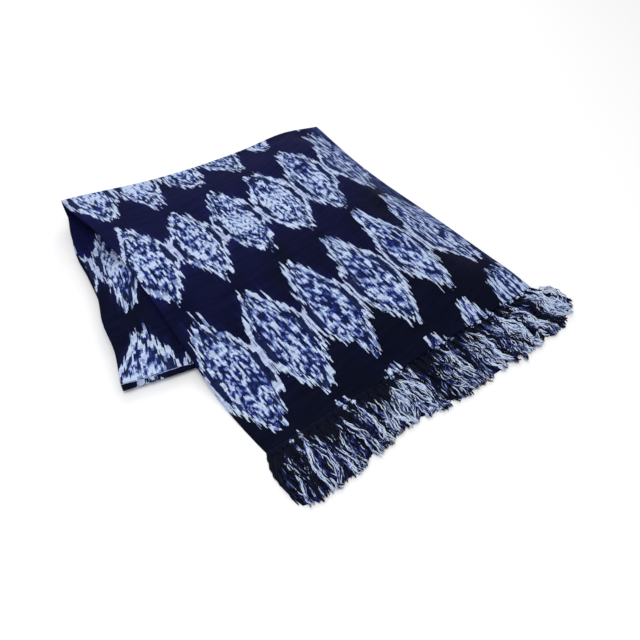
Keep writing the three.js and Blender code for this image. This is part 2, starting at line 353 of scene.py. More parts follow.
# %% A helper for node trees
class Shade:
    """A material and its node tree, with short calls for the nodes used most."""

    def __init__(self, name):
        self.material = bpy.data.materials.new(name)
        self.material.use_nodes = True
        self.tree = self.material.node_tree
        self.surface = self.tree.nodes["Principled BSDF"]

    def node(self, kind, **settings):
        made = self.tree.nodes.new(kind)
        for setting, value in settings.items():
            setattr(made, setting, value)
        return made

    def feed(self, socket, value):
        if isinstance(value, bpy.types.NodeSocket):
            self.tree.links.new(value, socket)
        else:
            socket.default_value = value

    def maths(self, operation, *values, clamp=False):
        made = self.node("ShaderNodeMath", operation=operation, use_clamp=clamp)
        for socket, value in zip(made.inputs, values):
            self.feed(socket, value)
        return made.outputs[0]

    def plus(self, total, *values):
        for value in values:
            total = self.maths("ADD", total, value)
        return total

    def minus(self, a, b):
        return self.maths("SUBTRACT", a, b)

    def times(self, a, b):
        return self.maths("MULTIPLY", a, b)

    def scaled(self, value, factor, added=0.0):
        return self.maths("MULTIPLY_ADD", value, factor, added)

    def step(self, value, start, end):
        made = self.node("ShaderNodeMapRange", interpolation_type="SMOOTHSTEP")
        self.feed(made.inputs["Value"], value)
        self.feed(made.inputs["From Min"], start)
        self.feed(made.inputs["From Max"], end)
        return made.outputs["Result"]

    def blend(self, share, a, b):
        made = self.node("ShaderNodeMix", data_type="FLOAT")
        self.feed(made.inputs[0], share)
        self.feed(made.inputs[2], a)
        self.feed(made.inputs[3], b)
        return made.outputs[0]

    def blend_colour(self, share, a, b, kind="MIX"):
        made = self.node("ShaderNodeMix", data_type="RGBA", blend_type=kind)
        self.feed(made.inputs[0], share)
        self.feed(made.inputs[6], a)
        self.feed(made.inputs[7], b)
        return made.outputs[2]

    def place(self, x, y, z=0.0):
        made = self.node("ShaderNodeCombineXYZ")
        for socket, value in zip(made.inputs, (x, y, z)):
            self.feed(socket, value)
        return made.outputs[0]

    def noise(self, where, scale=1.0, detail=2.0):
        made = self.node("ShaderNodeTexNoise")
        self.feed(made.inputs["Vector"], where)
        self.feed(made.inputs["Scale"], scale)
        self.feed(made.inputs["Detail"], detail)
        return made.outputs["Fac"]

    def grain(self, x, each_x, y, each_y, detail=1.0):
        """Noise that is stretched by its own amount each way."""
        return self.noise(self.place(self.times(x, each_x), self.times(y, each_y)), 1.0, detail)

    def random(self, *where):
        made = self.node("ShaderNodeTexWhiteNoise", noise_dimensions="3D")
        self.feed(made.inputs["Vector"], self.place(*where))
        return made.outputs["Value"]

    def uv(self, name):
        made = self.node("ShaderNodeUVMap", uv_map=name)
        parts = self.node("ShaderNodeSeparateXYZ")
        self.tree.links.new(made.outputs["UV"], parts.inputs[0])
        return parts.outputs[0], parts.outputs[1]

    def finish(self, bumps, distance, strength=1.0, **settings):
        """The fine relief, and the surface's settings by name, with _ for a space."""
        made = self.node("ShaderNodeBump")
        made.inputs["Distance"].default_value = distance
        made.inputs["Strength"].default_value = strength
        self.feed(made.inputs["Height"], bumps)
        self.feed(self.surface.inputs["Normal"], made.outputs["Normal"])
        for name, value in settings.items():
            self.feed(self.surface.inputs[name.replace("_", " ")], value)
        return self.material

    def ramp(self, value, stops, interpolation="LINEAR"):
        made = self.node("ShaderNodeValToRGB")
        made.color_ramp.interpolation = interpolation
        points = made.color_ramp.elements
        while len(points) < len(stops):
            points.new(0.5)
        for point, (position, colour) in zip(points, stops):
            point.position = position
            point.color = colour
        self.feed(made.inputs["Fac"], value)
        return made.outputs["Color"]


# %% [markdown]
# The motif is a long hexagon with blunt ends. It is tied folded in half, so its left and right halves mirror
# each other. Its ends lie 0.455 of a row before and behind its middle, and neighbours touch in the middle,
# where their outlines run together into a plain white bar. From outside in it has a white outline, a ring of
# blue and near-black, and a lively middle of white, pale, blue and dark dashes, in rows that zigzag a little.

# %% Colours and the motif's measures
motif_width = 0.104
row_length = 0.283
fine_bundles = 46.0
coarse_bundles = 23.0
edge_bundles = 25.0
dash_bundles = 27.0
dashes_each_row = 15.0
dash_rows = 11.0
finer_dash_rows = 16.0
zigzags = 3.4
blunt_end = 0.455
straight_to = 0.095
taper = 1.16
bar_half = 0.062
shorter_front = 0.08

near_black = (0.0030, 0.0041, 0.0135, 1.0)
deep_indigo = (0.0048, 0.0058, 0.0400, 1.0)
dark_blue = (0.0048, 0.0090, 0.0480, 1.0)
royal_blue = (0.0160, 0.0240, 0.1900, 1.0)
pale_blue = (0.1700, 0.2400, 0.4800, 1.0)
near_white = (0.5000, 0.5900, 0.7700, 1.0)
lavender = (0.4500, 0.5200, 0.7400, 1.0)
# The next colour is that of the painted sheen by the right selvage.
sheen_periwinkle = (0.0500, 0.0850, 0.2500, 1.0)
yarn_white = (0.6200, 0.7200, 0.8900, 1.0)


def motif_half_width(shade, from_middle, fullness):
    """Half a motif's width, in motifs, at a distance before or behind its middle, in rows."""
    tapered = shade.times(shade.maths("MAXIMUM", shade.minus(from_middle, straight_to), 0.0), taper)
    swelling = shade.maths("SINE", shade.times(from_middle, math.pi / blunt_end))
    return shade.plus(shade.minus(0.5, tapered), shade.times(swelling, fullness))


def ikat_colour(shade, u, v):
    """The colour of the dyed warp at pattern coordinates u and v, with painted sheen on the ground and by the
    right selvage.
    """
    column = shade.maths("FLOOR", u)
    row = shade.maths("ROUND", v)
    tied = shade.plus(column, shade.times(row, 13.0))
    tied_luck = shade.random(tied, 2.0)
    aside = shade.maths("ABSOLUTE", shade.scaled(shade.maths("FRACT", u), 1.0, -0.5))
    fine_bundle = shade.maths("FLOOR", shade.times(u, fine_bundles))
    coarse_bundle = shade.maths("FLOOR", shade.times(aside, coarse_bundles))
    fine_luck = shade.random(fine_bundle, 3.0)
    stray_luck = shade.random(fine_bundle, tied, 7.0)
    coarse_luck = shade.random(coarse_bundle, tied, 5.0)
    drift = shade.grain(u, 2.7, v, 3.1)
    drift = shade.plus(shade.scaled(drift, 0.05, -0.025), shade.scaled(coarse_luck, 0.026, -0.013))
    inner_place = shade.plus(v, shade.plus(drift, shade.scaled(fine_luck, 0.018, -0.009)))
    edge_bundle = shade.maths("FLOOR", shade.scaled(u, edge_bundles, 0.3))
    edge_luck = shade.random(edge_bundle, row, 6.0)
    slipped = shade.plus(shade.scaled(fine_luck, 0.050, -0.025), shade.scaled(edge_luck, 0.080, -0.040))
    outer_place = shade.plus(v, shade.plus(drift, slipped))
    behind_middle = shade.minus(outer_place, shade.maths("ROUND", outer_place))
    longer = shade.times(shade.maths("MINIMUM", behind_middle, 0.0), shorter_front)
    from_middle = shade.minus(shade.maths("ABSOLUTE", behind_middle), longer)
    stray = shade.maths("MAXIMUM", shade.scaled(stray_luck, 0.15, -0.11), 0.0)
    from_middle = shade.minus(from_middle, stray)

    # The middle's rows of dashes. In some motifs they zigzag, in others they are laid like bricks.
    zigzagged = shade.maths("GREATER_THAN", tied_luck, 0.55)
    fold = shade.maths("ABSOLUTE", shade.scaled(shade.maths("FRACT", shade.times(aside, zigzags)), 2.0, -1.0))
    bricks = shade.maths("FRACT", shade.times(coarse_bundle, 0.5))
    rows_here = shade.blend(zigzagged, dash_rows, finer_dash_rows)
    shift_along = shade.blend(zigzagged, bricks, fold)
    along_rows = shade.plus(shade.times(inner_place, rows_here), shift_along, shade.times(coarse_luck, 0.55))
    swing = shade.maths("SINE", shade.times(along_rows, 2 * math.pi))
    dash_bundle = shade.maths("FLOOR", shade.times(u, dash_bundles))
    dash_start = shade.plus(inner_place, shade.random(dash_bundle, 4.0))
    dash_number = shade.maths("FLOOR", shade.times(dash_start, dashes_each_row))
    dash = shade.random(dash_bundle, dash_number, 1.0)
    mirrored_number = shade.maths("FLOOR", shade.scaled(along_rows, 1.0, 0.25))
    mirrored_dash = shade.random(coarse_bundle, mirrored_number, tied)
    cloud = shade.grain(u, 3.3, v, 7.0, 2.0)
    cloudy = shade.scaled(cloud, 1.0, -0.5)

    # How far inside the motif's outline, across the warp.
    fullness = shade.plus(shade.scaled(tied_luck, 0.10, -0.035), shade.times(cloudy, 0.16))
    half_width = motif_half_width(shade, from_middle, fullness)
    ended = shade.maths("GREATER_THAN", from_middle, blunt_end - 0.01)
    between_rows = shade.maths("ABSOLUTE", shade.minus(inner_place, shade.maths("ROUND", inner_place)))
    ended = shade.maths("MAXIMUM", ended, shade.maths("GREATER_THAN", between_rows, 0.465))
    inside = shade.minus(shade.minus(half_width, aside), ended)
    inside = shade.plus(inside, shade.scaled(dash, 0.04, -0.02))
    beside_bar = shade.minus(1.0, shade.step(from_middle, 0.10, 0.16))
    band = shade.blend(beside_bar, shade.scaled(cloudy, 0.20, 0.095), bar_half)
    ring_end = shade.plus(band, shade.blend(beside_bar, shade.scaled(cloudy, -0.16, 0.070), 0.115))

    # How white each zone is: below 0.27 near-black, then blue, then pale, and white from 0.54.
    cloudier = shade.times(cloudy, 0.35)
    in_band = shade.plus(shade.scaled(dash, 0.42, 0.45), shade.scaled(beside_bar, 0.5), cloudier)
    in_ring = shade.plus(shade.scaled(dash, 0.34, 0.03), shade.times(cloudy, 0.7))
    in_ring = shade.minus(in_ring, shade.times(beside_bar, 0.25))
    lighter_rows = shade.plus(
        shade.step(v, -0.62, -0.45), shade.step(v, 0.6, 0.8), shade.scaled(tied_luck, 0.8, -0.4)
    )
    in_middle = shade.plus(
        shade.scaled(swing, 0.13, 0.415), shade.scaled(dash, 0.50, -0.25),
        shade.scaled(mirrored_dash, 0.36, -0.18), cloudier,
        shade.times(shade.times(beside_bar, lighter_rows), 0.11),
    )
    white = shade.times(in_band, shade.maths("GREATER_THAN", inside, 0.0))
    white = shade.blend(shade.maths("GREATER_THAN", inside, band), white, in_ring)
    white = shade.blend(shade.maths("GREATER_THAN", inside, ring_end), white, in_middle)

    hairs = shade.grain(u, 26.0, v, 8.0)
    white = shade.plus(white, shade.times(shade.step(u, 4.90, 5.25), shade.scaled(hairs, 2.4, -1.20)))

    # The ground is painted bluer by v as a painted sheen, bluest towards the back where the cloth faces the
    # lamp behind it; clouds and streaks of uneven dye vary it.
    ground_streaks = shade.grain(u, 40.0, v, 3.0, 2.0)
    ground_clouds = shade.grain(u, 1.4, v, 2.1)
    back_sheen_and_dye_clouds = shade.minus(shade.step(v, -1.7, 0.7), shade.times(shade.step(v, 1.05, 1.25), 0.75))
    streaky = shade.scaled(ground_streaks, 0.5, -0.25)
    back_sheen_and_dye_clouds = shade.plus(back_sheen_and_dye_clouds, streaky, shade.scaled(ground_clouds, 1.4, -0.75))
    ground = shade.blend_colour(shade.maths("ADD", back_sheen_and_dye_clouds, 0.0, clamp=True), near_black, deep_indigo)
    # Round the motifs the ground turns royal blue in clouds, a halo that fades out towards the top stretch's
    # hem.
    blue_halo = shade.times(shade.step(inside, -0.16, 0.0), shade.scaled(ground_clouds, 0.8, -0.22))
    blue_halo = shade.times(blue_halo, shade.step(v, -1.4, -0.2))
    ground = shade.blend_colour(shade.maths("MAXIMUM", blue_halo, 0.0), ground, royal_blue)
    stops = [(0.0, dark_blue), (0.27, royal_blue), (0.41, pale_blue), (0.54, near_white), (0.95, lavender)]
    dyed = shade.ramp(white, stops, "CONSTANT")
    dyed = shade.blend_colour(shade.scaled(mirrored_dash, 0.06), dyed, pale_blue)
    # By the right selvage, where the cloth slopes down, a thin veil of periwinkle is painted over the colours
    # as sheen, and the very edge gets painted sheen in pale streaks.
    right_edge_sheen = shade.times(shade.step(u, 4.95, 5.30), 0.06)
    dyed = shade.blend_colour(right_edge_sheen, dyed, sheen_periwinkle)
    colour = shade.blend_colour(shade.maths("GREATER_THAN", inside, 0.0), ground, dyed)
    edge_sheen_streaks = shade.times(shade.step(u, 5.55, 5.80), shade.scaled(hairs, 3.0, -1.15))
    edge_sheen_streaks = shade.maths("MAXIMUM", edge_sheen_streaks, 0.0)
    return shade.blend_colour(shade.maths("MINIMUM", edge_sheen_streaks, 0.8), colour, sheen_periwinkle)


# %% [markdown]
# ## The cloth's finish
#
# A plain weave of fine cotton has a faint rib. The weft shows as thin grey lines across the white parts, and
# the threads catch a little light at a low angle, so the material has some sheen and a rather dull gloss.

# %% Cloth material
thread_pitch = 0.0011
weft_pitch = 0.0017


def make_cloth_material():
    shade = Shade("ikat cotton")
    u, v = shade.uv("pattern")
    colour = ikat_colour(shade, u, v)
    weft_turn = shade.times(v, row_length / weft_pitch * 2 * math.pi)
    weft = shade.scaled(shade.maths("SINE", weft_turn), 0.5, 0.5)
    warp_turn = shade.times(u, motif_width / thread_pitch * 2 * math.pi)
    warp = shade.scaled(shade.maths("SINE", warp_turn), 0.5, 0.5)
    weft_uneven = shade.grain(u, 1.3, v, 42.0)
    darker = shade.plus(shade.times(weft, 0.10), shade.scaled(weft_uneven, 1.7, -0.62))
    darker = shade.maths("MAXIMUM", darker, 0.0)
    colour = shade.blend_colour(darker, colour, (0.42, 0.47, 0.54, 1.0), "MULTIPLY")
    return shade.finish(
        shade.plus(weft, shade.times(warp, 0.6)), 0.00025, 0.6, Base_Color=colour,
        Roughness=shade.scaled(weft_uneven, 0.2, 0.55), Specular_IOR_Level=0.02,
        Sheen_Weight=0.02, Sheen_Roughness=0.35, Sheen_Tint=(0.25, 0.35, 1.0, 1.0),
    )


cloth_material = make_cloth_material()

# %% [markdown]
# ## The top stretch
#
# From the hem it runs back over the heap, and at the back fold it turns under in a roll. It is the best seen
# of all, so its grid is fine: about one point every 4 mm.

# %% The top stretch's points
top_columns = 160
top_flat_rows = 178
top_roll_rows = 18


def top_points():
    s, on = share_grid(top_columns, top_flat_rows + top_roll_rows)
    step = on * (top_flat_rows + top_roll_rows)
    flat_share = np.minimum(step / top_flat_rows, 1)
    fold_x, fold_y = fold_point(s)
    y = mix(mix(hem_left, hem_right, s), fold_y, flat_share)
    edge_x = mix(left_selvage(y), right_selvage(y), s)
    x = mix(edge_x, fold_x, smooth(0.8, 1, flat_share))
    z = heap_height(x, y)
    roll_share = np.clip((step - top_flat_rows) / top_roll_rows, 0, 1)
    roll_top = heap_height(fold_x, fold_y)
    roll = rolled(fold_x, fold_y, fold_out, roll_top, fold_foot(s), roll_depth_back, roll_share)
    flat = np.stack([x, y, z], axis=2)
    return np.where((roll_share > 0)[..., None], np.stack(roll, axis=2), flat)


top = top_points()
top_lengths = lengths_along(top, axis=0)
print("top stretch, hem to the foot of the back fold (mm):",
      np.round(top_lengths[-1, [0, top_columns // 2, -1]] * 1000))

# %% [markdown]
# The first full row of motifs crosses the heap about 80 mm behind its middle. From that line v counts rows
# back (up) and forward (down), and u counts motifs from the left selvage.

# %% The top stretch's pattern coordinates
middle_row_left = 0.080
middle_row_right = 0.084
motifs_across = 6.2
# The weaver's rows and columns aren't straight. A row for each v: how far u sways at u = 0, 2.5 and 4.5.
column_sway = {
    0.90: (-0.02, -0.04, -0.03),
    0.45: (0.05, 0.01, -0.01),
    0.00: (0.12, 0.07, 0.05),
    -0.45: (0.15, 0.08, 0.13),
    -1.00: (0.00, -0.11, -0.11),
    -1.50: (0.04, -0.17, -0.22),
    -2.00: (0.04, -0.18, -0.24),
}
last_column = 0.72  # by the right selvage the motifs are wider: motifs for each usual width
# How far back the rows lie at each u.
row_slip_places = [0.0, 3.0, 4.0, 4.5, 5.0, 5.5, 6.2]
row_slips = [0.0, 0.0, 0.005, 0.070, 0.060, 0.140, 0.180]


def top_pattern(points):
    widths = lengths_along(points, axis=1)
    u = motifs_across * widths / widths[:, -1:]
    lengths = lengths_along(points, axis=0)
    flat = slice(0, top_flat_rows + 1)
    start = np.empty(points.shape[1])
    for column in range(points.shape[1]):
        line = mix(middle_row_left, middle_row_right, column / (points.shape[1] - 1))
        start[column] = np.interp(line, points[flat, column, 1], lengths[flat, column])
    v = (lengths - start) / row_length
    # The middle row's motifs are a little shorter than the others, and its first one lies further back.
    v = v + np.interp(v, [-0.58, -0.42, 0.42, 0.58], [0, -0.042, 0.042, 0])
    v = v - 0.05 * smooth(1.3, 0.3, u) * smooth(-0.70, -0.45, v) * smooth(0.65, 0.50, v)
    sways = [along([0.0, 2.5, 4.5], sway, u) for sway in column_sway.values()]
    swayed = u + along(list(column_sway), np.array(sways), v)
    swayed = np.where(swayed > 5, 5 + last_column * (swayed - 5), swayed)
    return np.stack([swayed, v - along(row_slip_places, row_slips, u)], axis=2)


top_uv = top_pattern(top)
top_cloth = cloth_sheet("top_cloth", top, top_uv, thin_cloth, cloth_material)

# %% [markdown]
# ## The second stretch
#
# It starts at the foot of the back fold, comes forward under the top stretch and turns under again at the
# front fold, with a rounded edge 25 mm high.

# %% The second stretch
second_columns = 150
second_flat_rows = 130
second_roll_rows = 12


def second_points():
    s, on = share_grid(second_columns, second_flat_rows + second_roll_rows)
    s = 1 - s
    step = on * (second_flat_rows + second_roll_rows)
    t = np.minimum(step / second_flat_rows, 1)
    x, y = second_plan(s, t)
    z = second_height(s, t)
    roll_share = np.clip((step - second_flat_rows) / second_roll_rows, 0, 1)
    end_x, end_y = second_plan(s, np.ones_like(s))
    roll_top = second_height(s, np.ones_like(s))
    roll = rolled(end_x, end_y, second_forward, roll_top, wall, roll_depth_front, roll_share)
    flat = np.stack([x, y, z], axis=2)
    return np.where((roll_share > 0)[..., None], np.stack(roll, axis=2), flat)


# How many rows of motifs lie between the middle row and the second stretch's start, at the left selvage.
second_row_start = 0.33


def second_pattern(points):
    """Its selvage at the left is the top stretch's right one, seen from below, so u counts from there."""
    widths = lengths_along(points, axis=1)
    u = motifs_across * (1 - widths / widths[:, -1:])
    lengths = lengths_along(points, axis=0)
    skewed = mix(0, -0.35, u / motifs_across)
    v = second_row_start + skewed + lengths / row_length
    v = v - 0.12 * smooth(1.35, 1.75, v)
    nearer = smooth(1.2, 1.8, v)
    u = u * mix(1, 0.8, nearer) + mix(-0.15, 0.14, nearer)
    # The pattern jumps a third of a row in the roll of the front fold, so that the near-black plain ground
    # between two rows lies there as painted shade on the fold turning under.
    v[second_flat_rows + 3:] -= 0.32
    return np.stack([u, v], axis=2)


second = second_points()
second_cloth = cloth_sheet("second_cloth", second, second_pattern(second), thin_cloth, cloth_material)

# %% [markdown]
# ## The hidden layers
#
# Under the second stretch lies the rest of the length, folded up. Only an edge of the third layer peeks out
# at the left, so it gets a sheet of its own. Below it one closed body stands for the layers that nobody sees,
# with its rim in two steps like the edges of folded cloth.

# %% The third layer
third_columns = 110
third_rows = 96
third_back = 0.022
third_front = 0.010
peek = 0.008
peek_end = 0.7


def third_points():
    s, on = share_grid(third_columns, third_rows)
    s = 1 - s
    length = mix(second_left_length, second_right_length, s)
    t = mix(third_back / length, 1 - third_front / length, on)
    x, y = second_plan(mix(0.006, 0.994, s), t)
    out = peek * np.sin(np.pi * np.minimum(1, t / peek_end)) * smooth(0.06, 0, s)
    x = x - fold_along[0] * out
    y = y - fold_along[1] * out
    above = np.minimum(second_height(s, t), second_height(np.minimum(s + 0.02, 1), t))
    lying = np.maximum(0.004, above - 0.005)
    at_rim = np.maximum(0.004, 0.5 * above - 0.002)
    rim_share = smooth(0, 0.05, s) * smooth(1, 0.97, s) * smooth(0, 0.06, on) * smooth(1, 0.96, on)
    z = mix(at_rim, lying, rim_share)
    return np.stack([x, y, z], axis=2)


third = third_points()
third_widths = lengths_along(third, axis=1)
third_start = 4.2
third_u = motifs_across * (1 - third_widths / third_widths[:, -1:])
third_uv = np.stack([third_u, third_start - lengths_along(third, axis=0) / row_length], axis=2)
third_cloth = cloth_sheet("third_cloth", third, third_uv, thin_cloth, cloth_material)

# %% The layers that nobody sees
inner_columns = 60
inner_rows = 56


def inner_layers_mesh():
    s, on = share_grid(inner_columns, inner_rows)
    s = 1 - s
    length = mix(second_left_length, second_right_length, s)
    wide_s = mix(0.014, 0.986, s)
    t = mix(0.030 / length, 1 - 0.016 / length, on)
    x, y = second_plan(wide_s, t)
    side = np.minimum(wide_s - 0.014, 0.986 - wide_s) * fold_width
    end = np.minimum(on, 1 - on) * length
    depth = np.minimum(side, end)
    ceiling = np.maximum(0.003, second_height(wide_s, t) - 0.0085)
    lower = np.minimum(0.006, ceiling) * np.sqrt(1 - (1 - np.clip(depth / 0.004, 0, 1)) ** 2)
    upper = ceiling * np.sqrt(1 - (1 - np.clip((depth - 0.012) / 0.018, 0, 1)) ** 2)
    z = np.maximum(np.maximum(lower, upper), 0.0005)
    return np.stack([x, y, z], axis=2)


inner = inner_layers_mesh()
inner_uv = np.stack([inner[..., 0] / motif_width, inner[..., 1] / row_length], axis=2)
inner_layers = cloth_sheet("inner_layers", inner, inner_uv, thin_cloth, cloth_material)
inner_layers.modifiers.clear()
closing = bmesh.new()
closing.from_mesh(inner_layers.data)
bmesh.ops.holes_fill(closing, edges=[edge for edge in closing.edges if edge.is_boundary])
closing.to_mesh(inner_layers.data)
closing.free()

# %% [markdown]
# ## The fringe
#
# At the hem the warp threads are gathered in small bundles, each bundle is knotted against the cloth, and
# beyond the knot its plied strands lie loose. They keep the colours that they were dyed, so the motif that
# the hem cuts goes on into the fringe.
#
# One strand is a three-sided tube with a few dozen faces. An Array modifier repeats it, and then each copy is
# laid along its own path. Loose yarn clings together in locks, so the locks come first: each one is walked
# step by step from its knot, leaning with its clump and waving a little, more calmly at the left end. The
# strands then follow their lock, each with its own small offset and crinkle.

# %% The fringe's measures
knot_count = 35
locks_per_knot = 3
strands_per_lock = 8
strand_steps = 22
strand_sides = 3
strand_radius = 0.0015
# across, reach, lean in degrees to the right, heaped
fringe_sections = [
    (0.00, 0.108, -14, 0.011),
    (0.12, 0.113, -5, 0.012),
    (0.22, 0.104, 1, 0.012),
    (0.33, 0.094, 3, 0.012),
    (0.50, 0.108, 4, 0.012),
    (0.75, 0.106, 6, 0.014),
    (0.90, 0.107, 14, 0.015),
    (1.00, 0.099, 26, 0.015),
]
fringe_places = [row[0] for row in fringe_sections]
# degrees: the locks at the left end set off to the left and come round to the right
left_end_lean = 8
left_end_bow = 26
# the share of its reach that the fringe loses at its right end
right_end_shorter = 0.17


def fringe_value(column, s):
    return along(fringe_places, [row[column] for row in fringe_sections], s)


def hem_point(s):
    y = mix(hem_left, hem_right, s)
    x = mix(left_selvage(y), right_selvage(y), s)
    return x, y


luck = np.random.default_rng(12)
knot_share = (np.arange(knot_count) + 0.5 + luck.uniform(-0.15, 0.15, knot_count)) / knot_count
knot_x, knot_y = hem_point(knot_share)
knot_z = heap_height(knot_x, knot_y)
print("knots along the hem:", knot_count)

# %% Clumps of neighbouring knots
clump_of_knot = np.zeros(knot_count, int)
clump = 0
left_in_clump = 2
for knot in range(knot_count):
    if left_in_clump == 0:
        clump += 1
        left_in_clump = int(luck.integers(2, 4))
    clump_of_knot[knot] = clump
    left_in_clump -= 1
clump_count = clump + 1
clump_lean = luck.normal(0, 4, clump_count)
clump_reach = luck.uniform(0.96, 1.0, clump_count)
clump_middle = np.array([knot_share[clump_of_knot == c].mean() for c in range(clump_count)])
print("clumps in the fringe:", clump_count)


# %% Walk the locks
def uneven(low, high, count):
    return luck.uniform(low, high, count)[:, None]


def waves(share, times_low, times_high, count):
    """A wave along each path, with its own length and start."""
    return np.sin(2 * np.pi * (share * uneven(times_low, times_high, count) + uneven(0, 1, count)))


def lock_paths(s, start_x, start_y, lean, reach, wave_degrees, curl_degrees):
    """Plan points of each lock and its heading, from the hem outwards."""
    count = len(s)
    at_left_end = 1 - smooth(0, 0.10, s)[:, None]
    share = np.linspace(0, 1, strand_steps + 1)[None, :]
    wave = uneven(0.5, 1.0, count) * np.reshape(wave_degrees, (-1, 1)) * waves(share, 0.8, 1.9, count)
    curl = luck.normal(0, curl_degrees, count)[:, None] * np.maximum(0, share - 0.66) / 0.34
    bulge = at_left_end * (left_end_lean + 2 * left_end_bow * (share - 0.5))
    loose = (wave * smooth(0, 0.25, share) + curl) * (1 - 0.6 * at_left_end)
    heading = np.radians(lean[:, None] + bulge + loose)
    wound = 1.07 + 0.11 * smooth(0.6, 0.95, s) - right_end_shorter * smooth(0.90, 0.99, s)
    stride = (reach * wound)[:, None] / strand_steps
    aside = stride * np.sin(heading)
    ahead = stride * np.cos(heading)
    x = start_x[:, None] + np.cumsum(aside, 1) - aside[:, :1]
    y = start_y[:, None] - np.cumsum(ahead, 1) + ahead[:, :1]
    return x, y, heading


def hem_row(s):
    """The pattern's row coordinate at the hem."""
    return np.interp(s, np.linspace(0, 1, top_columns + 1), top_uv[0, :, 1])


def hem_column(s):
    return np.interp(s, np.linspace(0, 1, top_columns + 1), top_uv[0, :, 0])


# %% [markdown]
# The strands that show lie heaped on a bed of darker ones, which are flat on the floor, a little shorter and
# evenly spread, so that the floor doesn't show between the clumps. Their extra darkness is painted shade, the
# shade under and between the heaped locks.


# %% Strands of the locks
def upper_strands():
    """Points along each strand (strands x steps + 1 x 3), and the pattern coordinates that go with them."""
    locks = knot_count * locks_per_knot
    knot = np.repeat(np.arange(knot_count), locks_per_knot)
    clump = clump_of_knot[knot]
    s = knot_share[knot]
    towards = (clump_middle[clump] - s) * fold_width
    fan = np.tile(np.linspace(-1, 1, locks_per_knot), knot_count)
    lean = fringe_value(2, s) + clump_lean[clump] + 4 * fan + luck.normal(0, 4, locks)
    lean = lean + np.degrees(np.arctan2(towards * 0.6, 0.1))
    reach = fringe_value(1, s) * clump_reach[clump] * luck.uniform(0.95, 1.0, locks) - 0.002
    wave_degrees = 25 + 32 * smooth(0.55, 0.95, s)
    start_x = knot_x[knot] + 0.0012 * fan
    start_y = knot_y[knot] - 0.007
    x, y, heading = lock_paths(s, start_x, start_y, lean, reach, wave_degrees, 26)
    level = luck.uniform(0.1, 0.9, locks)

    lock = np.repeat(np.arange(locks), strands_per_lock)
    count = len(lock)
    share = np.linspace(0, 1, strand_steps + 1)[None, :]
    spread = smooth(0, 0.35, share) * mix(1.0, 0.65, smooth(0.6, 1, share))
    beside = uneven(-1, 1, count) * (0.0012 + 0.0062 * spread)
    stray = luck.normal(0, 0.0035, count)[:, None] * smooth(0.3, 1, share)
    crinkle = uneven(0.0005, 0.0013, count) * waves(share, 4.0, 7.0, count) * smooth(0, 0.2, share)
    crinkle = crinkle * (1 + 1.5 * smooth(0.5, 0.9, s[lock]))[:, None]
    sideways = beside + stray + crinkle
    shortened = 1 - uneven(0, 0.05, count) * share
    px = knot_x[knot][lock][:, None] + (x[lock] - knot_x[knot][lock][:, None]) * shortened
    py = knot_y[knot][lock][:, None] + (y[lock] - knot_y[knot][lock][:, None]) * shortened
    px = px + sideways * np.cos(heading[lock])
    py = py + sideways * np.sin(heading[lock])
    heaped = fringe_value(3, s)[lock][:, None]
    height = np.sin(np.pi * np.clip(share * 0.80 + 0.14, 0, 1)) ** 0.8
    lying = 0.0035 + (level[lock][:, None] * 0.8 + uneven(0, 0.25, count)) * (heaped - 0.004) * height
    ripple = 0.0008 * waves(share, 2.5, 5.0, count)
    knot_height = np.maximum(0.0038, knot_z[knot][lock])[:, None]
    pz = mix(knot_height + uneven(-0.0016, 0.0016, count), lying + ripple, smooth(0, 0.22, share))
    pz = np.maximum(strand_radius * 1.1, pz)
    u = hem_column(s)[lock][:, None] + (fan * 0.045)[lock][:, None] + 0.7 * beside / motif_width
    v = hem_row(s)[lock][:, None] - (0.006 + share * reach[lock][:, None] * 1.07) / row_length
    v = v + luck.normal(0, 0.02, locks)[lock][:, None] + luck.normal(0, 0.012, count)[:, None]
    return np.stack([px, py, pz], axis=2), np.stack([u, v], axis=2)


# %% Strands of the bed
bed_count = 620


def bed_strands():
    s = (np.arange(bed_count) + luck.uniform(0, 1, bed_count)) / bed_count
    hem_x, hem_y = hem_point(s)
    lean = fringe_value(2, s) + luck.normal(0, 3, bed_count) + 3 * np.sin(s * 60)
    reach = fringe_value(1, s) * luck.uniform(0.89, 0.94, bed_count) + 0.0030 * np.sin(50 * s)
    x, y, heading = lock_paths(s, hem_x, hem_y + 0.004, lean, reach, 12, 10)
    share = np.linspace(0, 1, strand_steps + 1)[None, :]
    crinkle = uneven(0.0005, 0.0014, bed_count) * waves(share, 4.0, 7.0, bed_count)
    x = x + crinkle * np.cos(heading)
    y = y + crinkle * np.sin(heading)
    z = strand_radius * 1.1 + uneven(0, 0.0030, bed_count) * np.sin(np.pi * share) + 0 * x
    u = hem_column(s)[:, None] + 0 * x
    v = hem_row(s)[:, None] - share * reach[:, None] * 1.07 / row_length
    return np.stack([x, y, z], axis=2), np.stack([u, v], axis=2)


paths, path_pattern = upper_strands()
bed_paths, bed_pattern = bed_strands()
print("strands:", len(paths), "over", len(bed_paths))

# %% [markdown]
# The tubes are laid along the paths ring by ring. Which ring and which side a point of the template belongs
# to is read from the template itself.


# %% Copies of a small mesh in one mesh
def repeated(name, template, count):
    """A mesh of count copies of the template bmesh, one after the other."""
    mesh = bpy.data.meshes.new(name + " single")
    template.to_mesh(mesh)
    template.free()
    single = linked(name + " single", mesh)
    array = single.modifiers.new("copies", "ARRAY")
    array.count = count
    array.use_relative_offset = False
    bpy.context.view_layer.update()
    evaluated = single.evaluated_get(bpy.context.evaluated_depsgraph_get())
    joined = bpy.data.meshes.new_from_object(evaluated)
    joined.name = name
    bpy.data.objects.remove(single)
    bpy.data.meshes.remove(mesh)
    return joined


